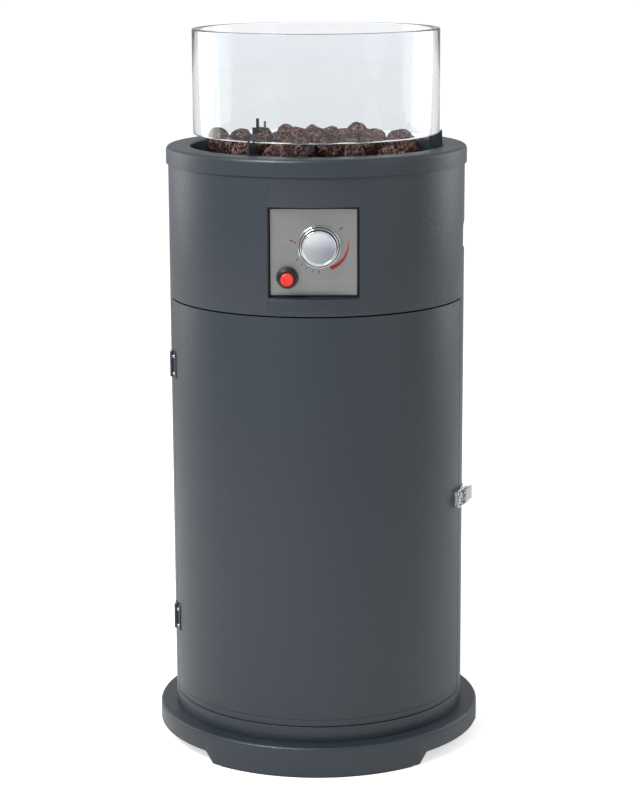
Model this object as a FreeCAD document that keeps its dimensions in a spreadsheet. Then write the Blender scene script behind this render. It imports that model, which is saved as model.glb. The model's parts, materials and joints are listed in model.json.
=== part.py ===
"""Column gas heater: a round cabinet for a gas cylinder with a hinged front door, a burner
bowl of lava stones on top, and a glass wind guard held by three brackets.
Millimetres, +Z up, front at -Y, origin at the centre of the floor under the base.
Azimuths are in degrees from the front, positive towards +X."""

import FreeCAD, Part
import math
import os
import random
import re
import Sketcher

from FreeCAD import Placement, Rotation, Vector

doc = FreeCAD.newDocument("column_heater")

# ---------------------------------------------------------------- driving sizes
SIZES = {
    # base and cabinet shells
    "base_radius": 200.3, "base_low": 1.5, "base_top": 38, "base_sheet": 2, "base_round": 5,
    "scallop_rise": 15, "scallop_half": 78, "scallop_slope": 10.5, "scallop_round": 5,
    "foot_depth": 12, "foot_height": 10,
    "ring_radius": 104, "ring_rise": 14,
    "body_radius": 180, "shell_sheet": 1.5, "plinth_top": 57, "plinth_flange": 18,
    "door_low_gap": 1, "door_high_gap": 2.5, "housing_low": 556,
    "seam_azimuth": 75.2, "seam_half_gap": 0.25, "hem_rise": 7.5, "hem_depth": 0.4,
    "fit_gap": 0.3,
    # upper housing, cap and bowl
    "cap_radius": 182.5, "cap_sheet": 1.8, "cap_low": 717, "cap_top": 738, "cap_round": 6,
    "mouth_radius": 153, "collar_low": 712, "ledge_width": 11,
    "pan_sheet": 1.5, "pan_radius": 138, "pan_floor": 690, "pan_hole": 14,
    "shelf_hole": 156, "shield_radius": 120, "shield_level": 668,
    "hand_hole_width": 58, "hand_hole_height": 34, "hand_hole_level": 628,
    "hand_hole_round": 10,
    "vent_width": 70, "vent_height": 6, "vent_pitch": 18, "vent_low": 96, "vent_high": 414,
    # glass guard and its brackets
    "glass_radius": 149.3, "glass_wall": 10, "glass_edge": 1, "glass_low": 752, "glass_height": 125,
    "bracket_sheet": 2, "finger_width": 2.5, "finger_rise": 9, "lip_rise": 2.5,
    "foot_width": 18, "bracket_first": -30,
    # burner
    "burner_ring_radius": 72, "burner_tube": 7, "burner_rise": 11, "hub_radius": 13,
    "mixer_radius": 11, "mixer_low": 628, "port_radius": 1.2,
    # control panel
    "window_side": 106, "window_level": 629.5, "panel_depth": 167, "panel_sheet": 1.5, "panel_side": 100,
    "frame_sheet": 1.2, "knob_x": 6.5, "knob_level": 636, "knob_radius": 20.2,
    "knob_skirt": 22.5, "knob_length": 10.5, "bezel_radius": 25.4, "bezel_depth": 4,
    "stem_radius": 4, "knob_travel": 3, "valve_radius": 15, "valve_length": 44, "inlet_radius": 7.9, "inlet_length": 18,
    "button_x": -30.5, "button_level": 600, "button_radius": 7.6, "button_out": 4,
    "nose_radius": 13, "nose_front": 10.2, "nose_length": 15, "igniter_radius": 9,
    "igniter_length": 42,
    # hinges and latch
    "hinge_axis": 182.4, "barrel_radius": 2.2, "pin_radius": 1.1, "pin_clear": 0.08,
    "hinge_height": 31, "knuckle": 10, "hinge_high_level": 475, "hinge_low_level": 155,
    "leaf_sheet": 1, "leaf_width": 14, "rivet_radius": 2.2, "rivet_rise": 1.2,
    "catch_rivet_reach": 9.5, "catch_rivet_spread": 5,
    "latch_level": 309, "latch_pivot": 185.4, "latch_pivot_y": 4, "lever_length": 27,
    "lever_half": 8.5, "lever_sheet": 1.2, "wire_radius": 1.2, "bail_x": 187.2, "bail_end": 183.4,
    "bail_y": 13, "bail_reach": -19, "bail_half": 10,
    # stones
    "stone_least": 13, "stone_most": 19.5, "stone_reach": 134, "heap_top": 767,
    "shield_plate_x": -71.7, "shield_plate_y": -20, "shield_plate_top": 773,
}

sheet = doc.addObject("Spreadsheet::Sheet", "Sizes")
for row, (alias, value) in enumerate(SIZES.items(), start=1):
    sheet.set(f"A{row}", alias)
    sheet.set(f"B{row}", str(value))
    sheet.setAlias(f"B{row}", alias)
doc.recompute()

WORD = re.compile(r"[a-z]+(?:_[a-z]+)+|knuckle")
parts = []


def linked(text):
    """An expression in which each size's name points at its cell."""
    return WORD.sub(lambda m: f"Sizes.{m.group(0)}" if m.group(0) in SIZES else m.group(0), str(text))


def size(text):
    """The present value of an expression on the sheet's sizes."""
    value = sheet.evalExpression(linked(text))
    return float(getattr(value, "Value", value))


def bind(item, **expressions):
    """Binds properties to the sheet: Radius="..." or Placement_Base_x="..."."""
    for name, text in expressions.items():
        item.setExpression(name.replace("__", "."), linked(text))


def keep(item, label):
    """Registers a finished sub-part under its node name."""
    item.Label = label
    parts.append(item)
    return item


# ---------------------------------------------------------------- sketch helpers
def plane_of(body, role):
    return next(f for f in body.Origin.OriginFeatures if f.Role == role)


def outline(body, name, role, points, shift=None, turn=0):
    """A closed sketch of straight lines whose corners are expressions on the sheet."""
    sketch = body.newObject("Sketcher::SketchObject", name)
    sketch.AttachmentSupport = [(plane_of(body, role), "")]
    sketch.MapMode = "FlatFace"
    sketch.AttachmentOffset = Placement(Vector(0, 0, 0), Rotation(Vector(0, 1, 0), turn))
    if shift is not None:
        for axis, share in (("x", math.sin(math.radians(turn))), ("z", math.cos(math.radians(turn)))):
            sketch.setExpression(f".AttachmentOffset.Base.{axis}", linked(f"({shift}) * {share:.6f}"))
    corners = [Vector(size(x), size(y), 0) for x, y in points]
    count = len(corners)
    for i in range(count):
        sketch.addGeometry(Part.LineSegment(corners[i], corners[(i + 1) % count]), False)
    for i in range(count):
        sketch.addConstraint(Sketcher.Constraint("Coincident", i, 2, (i + 1) % count, 1))
    for i, (x, y) in enumerate(points):
        for kind, text, value in (("DistanceX", x, corners[i].x), ("DistanceY", y, corners[i].y)):
            if abs(value) < 1e-9:
                sketch.addConstraint(Sketcher.Constraint(
                    "PointOnObject", i, 1, -2 if kind == "DistanceX" else -1))
                continue
            index = sketch.addConstraint(Sketcher.Constraint(kind, i, 1, value))
            sketch.setExpression(f"Constraints[{index}]", linked(text))
    return sketch


def lathe(name, points, role="XZ_Plane", sweep=None):
    """A body turned about Z from (radius, height) corners; sweep is centred on the sketch."""
    body = doc.addObject("PartDesign::Body", name)
    sketch = outline(body, name + "_profile", role, points)
    turned = body.newObject("PartDesign::Revolution", name + "_turned")
    turned.Profile = (sketch, [""])
    turned.ReferenceAxis = (sketch, ["V_Axis"])
    turned.Angle = 360
    if sweep is not None:
        turned.Midplane = True
        turned.setExpression("Angle", linked(sweep))
    doc.recompute()
    return body


def slab(name, role, points, thickness, shift=None):
    """A body padded both ways from a sketch plane that is moved by shift along its normal."""
    body = doc.addObject("PartDesign::Body", name)
    sketch = outline(body, name + "_outline", role, points, shift)
    pad = body.newObject("PartDesign::Pad", name + "_pad")
    pad.Profile = (sketch, [""])
    pad.Midplane = True
    pad.setExpression("Length", linked(thickness))
    doc.recompute()
    return body


def cut_out(body, name, role, points, depth, shift, turn=0):
    """Pockets a body both ways from a shifted sketch plane, and checks that it cut."""
    before = body.Shape.Volume
    sketch = outline(body, name, role, points, shift, turn)
    pocket = body.newObject("PartDesign::Pocket", name + "_pocket")
    pocket.Profile = (sketch, [""])
    pocket.Type = "Length"
    pocket.Midplane = True
    pocket.setExpression("Length", linked(depth))
    body.Tip = pocket
    doc.recompute()
    if not body.Shape.Volume < before - 1e-3:
        raise RuntimeError(f"{name} cuts nothing")
    return pocket


def box_points(x_low, x_high, y_low, y_high):
    return [(x_low, y_low), (x_high, y_low), (x_high, y_high), (x_low, y_high)]


def shoulder(radius, level, bend, side=1, steps=6):
    """Corners of a rounded shoulder, listed from the wall up to the flat top."""
    turns = [math.pi / 2 * k / steps for k in range(steps + 1)]
    return [(f"{radius} - {side} * {bend} * {1 - math.cos(t):.6f}",
             f"{level} - {bend} * {1 - math.sin(t):.6f}") for t in turns]


# ---------------------------------------------------------------- solid helpers
AXES = {"x": Rotation(Vector(0, 1, 0), 90), "y": Rotation(Vector(1, 0, 0), -90),
        "z": Rotation()}


def rod(name, radius, length, x, y, z, axis="z", wall=None):
    """A cylinder (or a tube with a wall) that starts at x, y, z and runs along an axis."""
    made = []
    for part_radius in [radius] if wall is None else [radius, f"{radius} - ({wall})"]:
        item = doc.addObject("Part::Cylinder", name + "_cylinder")
        item.Placement = Placement(Vector(0, 0, 0), AXES[axis])
        bind(item, Radius=part_radius, Height=length)
        for letter, text in zip("xyz", (x, y, z)):
            item.setExpression(f".Placement.Base.{letter}", linked(text))
        made.append(item)
    return made[0] if wall is None else cut(name, made[0], made[1])


def block(name, x_low, x_high, y_low, y_high, z_low, z_high):
    item = doc.addObject("Part::Box", name)
    bind(item, Length=f"({x_high}) - ({x_low})", Width=f"({y_high}) - ({y_low})",
         Height=f"({z_high}) - ({z_low})")
    for letter, text in zip("xyz", (x_low, y_low, z_low)):
        item.setExpression(f".Placement.Base.{letter}", linked(text))
    return item


def sector(name, r_low, r_high, turn_low, turn_high, z_low, z_high):
    """A piece of a round wall between two angles from the +X axis, counter-clockwise."""
    pair = []
    for radius in (r_high, r_low):
        item = doc.addObject("Part::Cylinder", name)
        bind(item, Radius=radius, Height=f"({z_high}) - ({z_low})",
             Angle=f"({turn_high}) - ({turn_low})")
        item.Placement = Placement(Vector(0, 0, 0), Rotation(Vector(0, 0, 1), 0))
        item.setExpression(".Placement.Base.z", linked(z_low))
        item.setExpression(".Placement.Rotation.Angle", linked(turn_low))
        item.setExpression(".Placement.Rotation.Axis.z", "1")
        pair.append(item)
    return cut(name, pair[0], pair[1])


def cut(name, base, tool):
    item = doc.addObject("Part::Cut", name)
    item.Base, item.Tool = base, tool
    return item


def join(name, *pieces):
    item = doc.addObject("Part::MultiFuse", name)
    item.Shapes = list(pieces)
    item.Refine = True
    return item


def group(name, *pieces):
    """Separate solids in one node."""
    item = doc.addObject("Part::Compound", name)
    item.Links = list(pieces)
    return item


def turned(item, angle):
    """Turns a finished piece about the heater's axis."""
    item.Placement = Placement(Vector(0, 0, 0), Rotation(Vector(0, 0, 1), angle))
    return item


def wire_path(corners, bend):
    """Straight runs joined by tangent arcs of one bend radius."""
    edges, start = [], corners[0]
    for before, corner, after in zip(corners, corners[1:], corners[2:]):
        into, out = (corner - before).normalize(), (after - corner).normalize()
        half_turn = into.getAngle(out) / 2
        reach = bend * math.tan(half_turn)
        first, last = corner - into * reach, corner + out * reach
        bisector = (out - into).normalize()
        middle = corner + bisector * (bend / math.cos(half_turn) - bend)
        edges += [Part.LineSegment(start, first).toShape(), Part.Arc(first, middle, last).toShape()]
        start = last
    return Part.Wire(edges + [Part.LineSegment(start, corners[-1]).toShape()])


def bent_rod(name, corners, radius, bend):
    """A round wire or pipe along a path."""
    path = wire_path(corners, bend)
    first = path.Edges[0]
    start = first.Vertexes[0].Point
    along = (first.Vertexes[-1].Point - start).normalize()
    profile = Part.Wire(Part.Circle(start, along, radius).toShape())
    item = doc.addObject("Part::Feature", name)
    item.Shape = path.makePipeShell([profile], True, False)
    expected = math.pi * radius ** 2 * path.Length
    if abs(item.Shape.Volume / expected - 1) > 0.02:
        raise RuntimeError(f"{name} has the wrong volume")
    return item


# ---------------------------------------------------------------- base and cabinet
def base_plate():
    """Pressed base: a flat top, a rolled rim and a skirt that stands on three broad feet."""
    inner = shoulder("base_radius - base_sheet", "base_top - base_sheet", "(base_round - base_sheet)")
    body = lathe("base_plate", [
        ("0", "base_top - base_sheet")] + inner[::-1]
        + [("base_radius - base_sheet", "base_low"), ("base_radius", "base_low")]
        + shoulder("base_radius", "base_top", "base_round") + [("0", "base_top")])
    for index, turn in enumerate((65, 180, -65)):
        cut_out(body, f"base_scallop{index}", "XZ_Plane", [
            ("-scallop_half - scallop_slope", "-1"), ("scallop_half + scallop_slope", "-1"),
            ("scallop_half + scallop_slope", "base_low"),
            ("scallop_half + 0.3 * scallop_slope", "0.75 * scallop_rise"),
            ("scallop_half - 0.2 * scallop_round", "0.93 * scallop_rise"),
            ("scallop_half - scallop_round", "scallop_rise"),
            ("-scallop_half + scallop_round", "scallop_rise"),
            ("-scallop_half + 0.2 * scallop_round", "0.93 * scallop_rise"),
            ("-scallop_half - 0.3 * scallop_slope", "0.75 * scallop_rise"),
            ("-scallop_half - scallop_slope", "base_low")],
            "base_radius", "base_radius", turn)
    return keep(body, "base_plate")


def rubber_feet():
    """Rubber strips inside the skirt, which carry the heater a little off the ground."""
    strips = []
    outer = "(base_radius - base_sheet - 0.15)"
    for turn, half in ((0, 36), (122.5, 28), (-122.5, 28)):
        strips.append(sector(f"foot_strip{turn}", f"{outer} - foot_depth", outer,
                             f"{turn - half} - 90", f"{turn + half} - 90", "0", "foot_height"))
    return keep(group("rubber_feet", *strips), "rubber_feet")


def cylinder_ring():
    """Low ring on the base that keeps the gas cylinder's foot in the middle."""
    return keep(lathe("cylinder_ring", [
        ("ring_radius", "base_top"), ("ring_radius + shell_sheet", "base_top"),
        ("ring_radius + shell_sheet", "base_top + ring_rise"),
        ("ring_radius", "base_top + ring_rise")]), "cylinder_ring")


def plinth_ring():
    """Short round wall on the base, with an inward flange that is screwed down."""
    inner = "body_radius - shell_sheet"
    return keep(lathe("plinth_ring", [
        (f"{inner} - plinth_flange", "base_top"), ("body_radius", "base_top"),
        ("body_radius", "plinth_top"), (inner, "plinth_top"),
        (inner, "base_top + shell_sheet"),
        (f"{inner} - plinth_flange", "base_top + shell_sheet")]), "plinth_ring")


def rear_shell():
    """Fixed rear part of the cabinet, with vent slots low and high for stray gas."""
    body = lathe("rear_shell", [
        ("body_radius - shell_sheet", "plinth_top"), ("body_radius", "plinth_top"),
        ("body_radius", "housing_low"), ("body_radius - shell_sheet", "housing_low")],
        "YZ_Plane", "360 - 2 * (seam_azimuth + seam_half_gap)")
    for level in ("vent_low", "vent_high"):
        for step in range(4):
            low = f"{level} + {step} * vent_pitch"
            cut_out(body, f"{level}{step}", "XZ_Plane", box_points(
                "-vent_width / 2", "vent_width / 2", low, f"{low} + vent_height"),
                "60", "-body_radius")
    return keep(body, "rear_shell")


def door_shell():
    """Curved door with a hem line pressed into its lower edge."""
    low, high = "(plinth_top + door_low_gap)", "(housing_low - door_high_gap)"
    hem = f"{low} + hem_rise"
    return keep(lathe("door_shell", [
        ("-body_radius", low), ("-body_radius", f"{hem} - 0.8"),
        ("-body_radius + hem_depth", hem), ("-body_radius", f"{hem} + 0.8"),
        ("-body_radius", high), ("-body_radius + shell_sheet", high),
        ("-body_radius + shell_sheet", low)],
        "YZ_Plane", "2 * (seam_azimuth - seam_half_gap)"), "door_shell")


def door_stiles():
    """Two upright folded strips that stiffen the door's free edges from inside."""
    pieces = []
    for side, turn in (("hinge", "-90 - seam_azimuth + 1"), ("latch", "-90 + seam_azimuth - 6")):
        pieces.append(sector(f"stile_{side}", "body_radius - shell_sheet - 1.4",
                             "body_radius - shell_sheet - 0.15", turn, f"{turn} + 5",
                             "plinth_top + 10", "housing_low - 10"))
    return keep(group("door_stiles", *pieces), "door_stiles")


def upper_housing():
    """Round housing of the burner, with the control window and a hand hole at the right."""
    body = lathe("upper_housing", [
        ("body_radius - shell_sheet", "housing_low"), ("body_radius", "housing_low"),
        ("body_radius", "cap_top - cap_sheet - 2.2"),
        ("body_radius - shell_sheet", "cap_top - cap_sheet - 2.2")])
    half = "window_side / 2"
    cut_out(body, "control_window", "XZ_Plane", box_points(
        f"-{half}", half, f"window_level - {half}", f"window_level + {half}"),
        "60", "body_radius")
    corners = []
    for side, rise in ((-1, -1), (1, -1), (1, 1), (-1, 1)):
        ends = []
        for turn in (0, 30, 60, 90):
            inset = 1 - math.sin(math.radians(turn)), 1 - math.cos(math.radians(turn))
            ends.append((f"{side} * (hand_hole_width / 2 - {inset[0]:.4f} * hand_hole_round)",
                         f"hand_hole_level + {rise} * (hand_hole_height / 2 - {inset[1]:.4f} * hand_hole_round)"))
        corners += ends if side * rise < 0 else ends[::-1]
    cut_out(body, "hand_hole", "YZ_Plane", corners, "40", "body_radius")
    return keep(body, "upper_housing")


def middle_shelf():
    """Flanged floor of the housing, which closes the cylinder bay from above."""
    rim = "body_radius - shell_sheet - fit_gap"
    return keep(lathe("middle_shelf", [
        ("shelf_hole", "housing_low"), (rim, "housing_low"), (rim, "housing_low + 12"),
        (f"{rim} - shell_sheet", "housing_low + 12"),
        (f"{rim} - shell_sheet", "housing_low + shell_sheet"),
        ("shelf_hole", "housing_low + shell_sheet")]), "middle_shelf")


def top_cap():
    """Pressed ring that covers the housing, with a collar and a ledge for the bowl."""
    inner = "cap_radius - cap_sheet"
    body = lathe("top_cap", [(inner, "cap_low"), ("cap_radius", "cap_low")]
        + shoulder("cap_radius", "cap_top", "cap_round")
        + shoulder("mouth_radius", "cap_top", "(2 * cap_sheet)", side=-1)[::-1]
        + [("mouth_radius", "collar_low"), ("mouth_radius - ledge_width", "collar_low"),
           ("mouth_radius - ledge_width", "collar_low - cap_sheet"),
           ("mouth_radius + cap_sheet", "collar_low - cap_sheet"),
           ("mouth_radius + cap_sheet", "cap_top - 3 * cap_sheet")]
        + shoulder("(mouth_radius + cap_sheet)", "(cap_top - cap_sheet)", "cap_sheet", side=-1)
        + shoulder(f"({inner})", "(cap_top - cap_sheet)", "(cap_round - cap_sheet)")[::-1])
    return keep(body, "top_cap")


# ---------------------------------------------------------------- bowl, burner and stones
def burner_pan():
    """Shallow bowl that hangs by its flange from the cap's ledge."""
    rim = "mouth_radius - fit_gap"
    return keep(lathe("burner_pan", [
        ("pan_hole", "pan_floor - pan_sheet"),
        ("pan_radius + pan_sheet", "pan_floor - pan_sheet"),
        ("pan_radius + pan_sheet", "collar_low"), (rim, "collar_low"),
        (rim, "collar_low + pan_sheet"), ("pan_radius", "collar_low + pan_sheet"),
        ("pan_radius", "pan_floor"), ("pan_hole", "pan_floor")]), "burner_pan")


def burner():
    """Round tube burner with a hub and four spokes, and gas ports along its top."""
    level = "pan_floor + burner_rise"
    ring = doc.addObject("Part::Torus", "burner_loop")
    bind(ring, Radius1="burner_ring_radius", Radius2="burner_tube")
    ring.setExpression(".Placement.Base.z", linked(level))
    hub = rod("burner_hub", "hub_radius", "burner_rise + burner_tube", "0", "0", "pan_floor")
    spokes = [rod("burner_spoke", "burner_tube - 2", "2 * burner_ring_radius",
                  "-burner_ring_radius" if axis == "x" else "0",
                  "-burner_ring_radius" if axis == "y" else "0", level, axis)
              for axis in ("x", "y")]
    solid = join("burner_solid", ring, hub, *spokes)
    count, reach = 24, size("burner_ring_radius")
    ports = []
    for index in range(count):
        turn = 2 * math.pi * (index + 0.5) / count
        ports.append(rod("burner_port", "port_radius", "burner_tube + 2",
                         f"burner_ring_radius * {math.cos(turn):.6f}",
                         f"burner_ring_radius * {math.sin(turn):.6f}", f"{level} + 1"))
    return keep(cut("burner", solid, group("burner_ports", *ports)), "burner")


def burner_parts():
    """Mixer tube, its nut, the injector, the heat shield and the shield's posts."""
    under = "pan_floor - pan_sheet"
    keep(rod("mixer_tube", "mixer_radius", "pan_floor - mixer_low", "0", "0", "mixer_low",
             wall="1.5"), "mixer_tube")
    nut = doc.addObject("Part::Prism", "mixer_nut_hexagon")
    nut.Polygon = 6
    bind(nut, Circumradius="mixer_radius + 9", Height="7")
    nut.setExpression(".Placement.Base.z", linked(f"{under} - 7"))
    bore = rod("mixer_nut_bore", "mixer_radius + 0.1", "9", "0", "0", f"{under} - 8")
    keep(cut("mixer_nut", nut, bore), "mixer_nut")
    keep(lathe("heat_shield", [
        ("mixer_radius + 4", "shield_level"), ("shield_radius", "shield_level"),
        ("shield_radius", "shield_level - 8"), ("shield_radius + 1.2", "shield_level - 8"),
        ("shield_radius + 1.2", "shield_level + 1.2"), ("mixer_radius + 4", "shield_level + 1.2")]),
        "heat_shield")
    posts = []
    for index in range(3):
        turn = math.radians(30 + 120 * index)
        posts.append(rod("shield_post", "4", f"({under}) - (shield_level + 1.2)",
                         f"(shield_radius - 15) * {math.cos(turn):.6f}",
                         f"(shield_radius - 15) * {math.sin(turn):.6f}", "shield_level + 1.2"))
    keep(group("shield_posts", *posts), "shield_posts")
    body = rod("injector_body", "mixer_radius - 1.7", "14", "0", "0", "mixer_low + 2")
    spud = rod("injector_spud", "3.2", "9", "0", "0", "mixer_low + 16")
    keep(join("injector", body, spud), "injector")


def igniter_tip():
    """Spark electrode and thermocouple, which stand on one bracket beside the burner ring."""
    reach = "(burner_ring_radius + burner_tube + 12)"
    foot = block("tip_foot", "-16", "16", f"-{reach} - 8", f"-{reach} + 8",
                 "pan_floor", "pan_floor + 1.5")
    keep(foot, "electrode_bracket")
    rod_low = "pan_floor + 1.5"
    insulator = rod("insulator", "4", "16", "-9", f"-{reach}", rod_low)
    keep(insulator, "electrode_insulator")
    keep(rod("electrode_wire", "1.1", "8", "-9", f"-{reach}", f"{rod_low} + 16"), "electrode_wire")
    keep(rod("thermocouple", "2.4", "24", "9", f"-{reach}", rod_low), "thermocouple")


def ignition_shield():
    """Stepped upright plate on the burner, which shelters the flame beside the spark."""
    low = "pan_floor + burner_rise + burner_tube + 0.15"
    front, back = "shield_plate_y - 0.8", "shield_plate_y + 0.8"
    tall = block("shield_tall", "shield_plate_x", "shield_plate_x + 3.5", front, back, low,
                 "shield_plate_top")
    short = block("shield_short", "shield_plate_x - 4.5", "shield_plate_x", front, back, low,
                  "shield_plate_top - 10")
    return keep(join("ignition_shield", tall, short), "ignition_shield")


def stone_places():
    """Centres and radii of the stones, each dropped until it meets a stone, the bowl or the burner."""
    draw = random.Random(11)
    floor, flange = size("pan_floor"), size("collar_low + pan_sheet")
    bowl, mouth = size("pan_radius"), size("mouth_radius")
    loop, loop_level = size("burner_ring_radius"), size("pan_floor + burner_rise")
    tube, clear = size("burner_tube"), 0.25
    tip_y = -size("burner_ring_radius + burner_tube + 12")
    web = [math.radians(size("bracket_first") + 120 * k) for k in range(3)]
    web_low = size("glass_radius - glass_wall - finger_width") - 1.0
    reach_most, hub = size("stone_reach"), size("hub_radius")
    placed = []

    def blocked(x, y, radius, centre_z):
        away = math.hypot(x, y)
        if away + radius > reach_most:
            return True
        for turn in web:
            ux, uy = math.sin(turn), -math.cos(turn)
            along = max(web_low, min(mouth, x * ux + y * uy))
            if math.hypot(x - along * ux, y - along * uy) < radius + 10.5:
                return True
        if abs(x - size("shield_plate_x")) < 5 + radius and abs(y - size("shield_plate_y")) < 1.2 + radius:
            return True
        if centre_z - radius < floor + 30 and abs(x) < 18 + radius and abs(y - tip_y) < 10 + radius:
            return True
        return False

    def resting(x, y, radius):
        away = math.hypot(x, y)
        level = floor + radius
        for line_z, line_r, distance in (
                (loop_level, tube, abs(away - loop)), (loop_level, tube - 2, abs(y) if away < loop else 1e9),
                (loop_level, tube - 2, abs(x) if away < loop else 1e9),
                (loop_level + tube, 0, max(0.0, away - hub))):
            touch = radius + line_r + clear
            if distance < touch:
                level = max(level, line_z + math.sqrt(touch ** 2 - distance ** 2))
        if away + radius + clear > bowl:
            edge = max(0.0, bowl - away)
            reach = radius + clear
            level = max(level, flange + (reach if edge == 0 else math.sqrt(max(0, reach ** 2 - edge ** 2))))
        for px, py, pz, pr in placed:
            gap = math.hypot(x - px, y - py)
            touch = radius + pr + clear
            if gap < touch:
                level = max(level, pz + math.sqrt(touch ** 2 - gap ** 2))
        return level

    least, most, top = size("stone_least"), size("stone_most"), size("heap_top")
    for _ in range(2600):
        radius = draw.uniform(least, most)
        best = None
        for _ in range(14):
            away = (mouth - 2) * math.sqrt(draw.random())
            turn = draw.uniform(0, 2 * math.pi)
            x, y = away * math.cos(turn), away * math.sin(turn)
            level = resting(x, y, radius)
            if blocked(x, y, radius, level):
                continue
            if best is None or level < best[2]:
                best = (x, y, level)
        if best:
            fall = 12 * (best[0] ** 2 + best[1] ** 2) / mouth ** 2 + 10 * max(0, best[1]) / mouth
            ceiling = top - fall
        if best and best[2] + radius < ceiling:
            placed.append((best[0], best[1], best[2], radius))
    return placed


def lava_stones():
    """Loose lava stones as plain balls, each resting on another, on the bowl or on the burner."""
    item = doc.addObject("Part::Feature", "lava_stones")
    item.Shape = Part.makeCompound([
        Part.makeSphere(radius, Vector(x, y, z)) for x, y, z, radius in stone_places()])
    print("stones:", len(item.Shape.Solids))
    return keep(item, "lava_stones")


# ---------------------------------------------------------------- glass guard
def glass_guard():
    low, high = "glass_low", "(glass_low + glass_height)"
    inner = "(glass_radius - glass_wall)"
    return keep(lathe("glass_guard", [
        (f"{inner} + glass_edge", low), ("glass_radius - glass_edge", low),
        ("glass_radius", f"{low} + glass_edge"), ("glass_radius", f"{high} - glass_edge"),
        ("glass_radius - glass_edge", high), (f"{inner} + glass_edge", high),
        (inner, f"{high} - glass_edge"), (inner, f"{low} + glass_edge")]), "glass_guard")


def glass_bracket(label, azimuth):
    """Upright web with a seat for the glass, a finger inside it, a lip outside it and a foot."""
    foot_low = "(collar_low + pan_sheet)"
    inner = "(glass_radius - glass_wall - finger_width - 0.5)"
    outer = "(mouth_radius - 0.6)"
    seat = "(glass_low - fit_gap)"
    web = slab(f"{label}_web", "YZ_Plane", [
        (f"-{outer}", foot_low), (f"-{outer}", f"{seat} + lip_rise"),
        ("-glass_radius - 0.5", f"{seat} + lip_rise"), ("-glass_radius - 0.5", seat),
        (f"-{inner} - finger_width", seat), (f"-{inner} - finger_width", f"{seat} + finger_rise"),
        (f"-{inner}", f"{seat} + finger_rise"), (f"-{inner}", f"{foot_low} + 16"),
        (f"-{inner} - 5", foot_low)], "bracket_sheet")
    foot = block(f"{label}_foot", "-foot_width / 2", "foot_width / 2", "-mouth_radius + 3",
                 "-pan_radius - 1", foot_low, f"{foot_low} + bracket_sheet")
    return keep(turned(join(label, web, foot), azimuth), label)


def bracket_screws():
    """Pan-head screws through the bracket feet, two to a foot."""
    heads = []
    for index in range(3):
        for side in (-1, 1):
            head = rod("bracket_screw", "2.6", "2", f"{side} * 6", "-(mouth_radius + pan_radius) / 2",
                       "collar_low + pan_sheet + bracket_sheet")
            shade = group("bracket_screw_turned", head)
            heads.append(turned(shade, size("bracket_first") + 120 * index))
    return keep(group("bracket_screws", *heads), "bracket_screws")


# ---------------------------------------------------------------- controls
def panel_holes(name, extra):
    """Round holes for the valve and for the igniter."""
    return group(name,
                 rod(name + "_stem", "stem_radius + 1.5", "20", "knob_x", "-panel_depth - 10",
                     "knob_level", "y"),
                 rod(name + "_igniter", f"igniter_radius + {extra}", "20", "button_x",
                     "-panel_depth - 10", "button_level", "y"))


def control_panel():
    """Flat steel plate at the bottom of the tray."""
    half = "panel_side / 2"
    plate = block("panel_plate", f"-{half}", half, "-panel_depth", "-panel_depth + panel_sheet",
                  f"window_level - {half}", f"window_level + {half}")
    return keep(cut("control_panel", plate, panel_holes("plate_holes", 0.3)), "control_panel")


def panel_tray():
    """Folded tray that lines the window and carries the plate; its front follows the housing."""
    half, back = "(window_side / 2 - 0.3)", "-panel_depth + panel_sheet"
    box = block("tray_box", f"-{half}", half, "-body_radius - 4", f"{back} + frame_sheet",
                f"window_level - {half}", f"window_level + {half}")
    hollow = block("tray_hollow", f"-{half} + frame_sheet", f"{half} - frame_sheet",
                   "-body_radius - 6", back, f"window_level - {half} + frame_sheet",
                   f"window_level + {half} - frame_sheet")
    curve = rod("tray_curve", "body_radius - 0.1", "window_side + 20", "0", "0",
                "window_level - window_side / 2 - 10")
    trimmed = doc.addObject("Part::Common", "tray_trimmed")
    trimmed.Base, trimmed.Tool = cut("tray_shell", box, hollow), curve
    return keep(cut("panel_tray", trimmed, panel_holes("tray_holes", 0.3)), "panel_tray")


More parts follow.
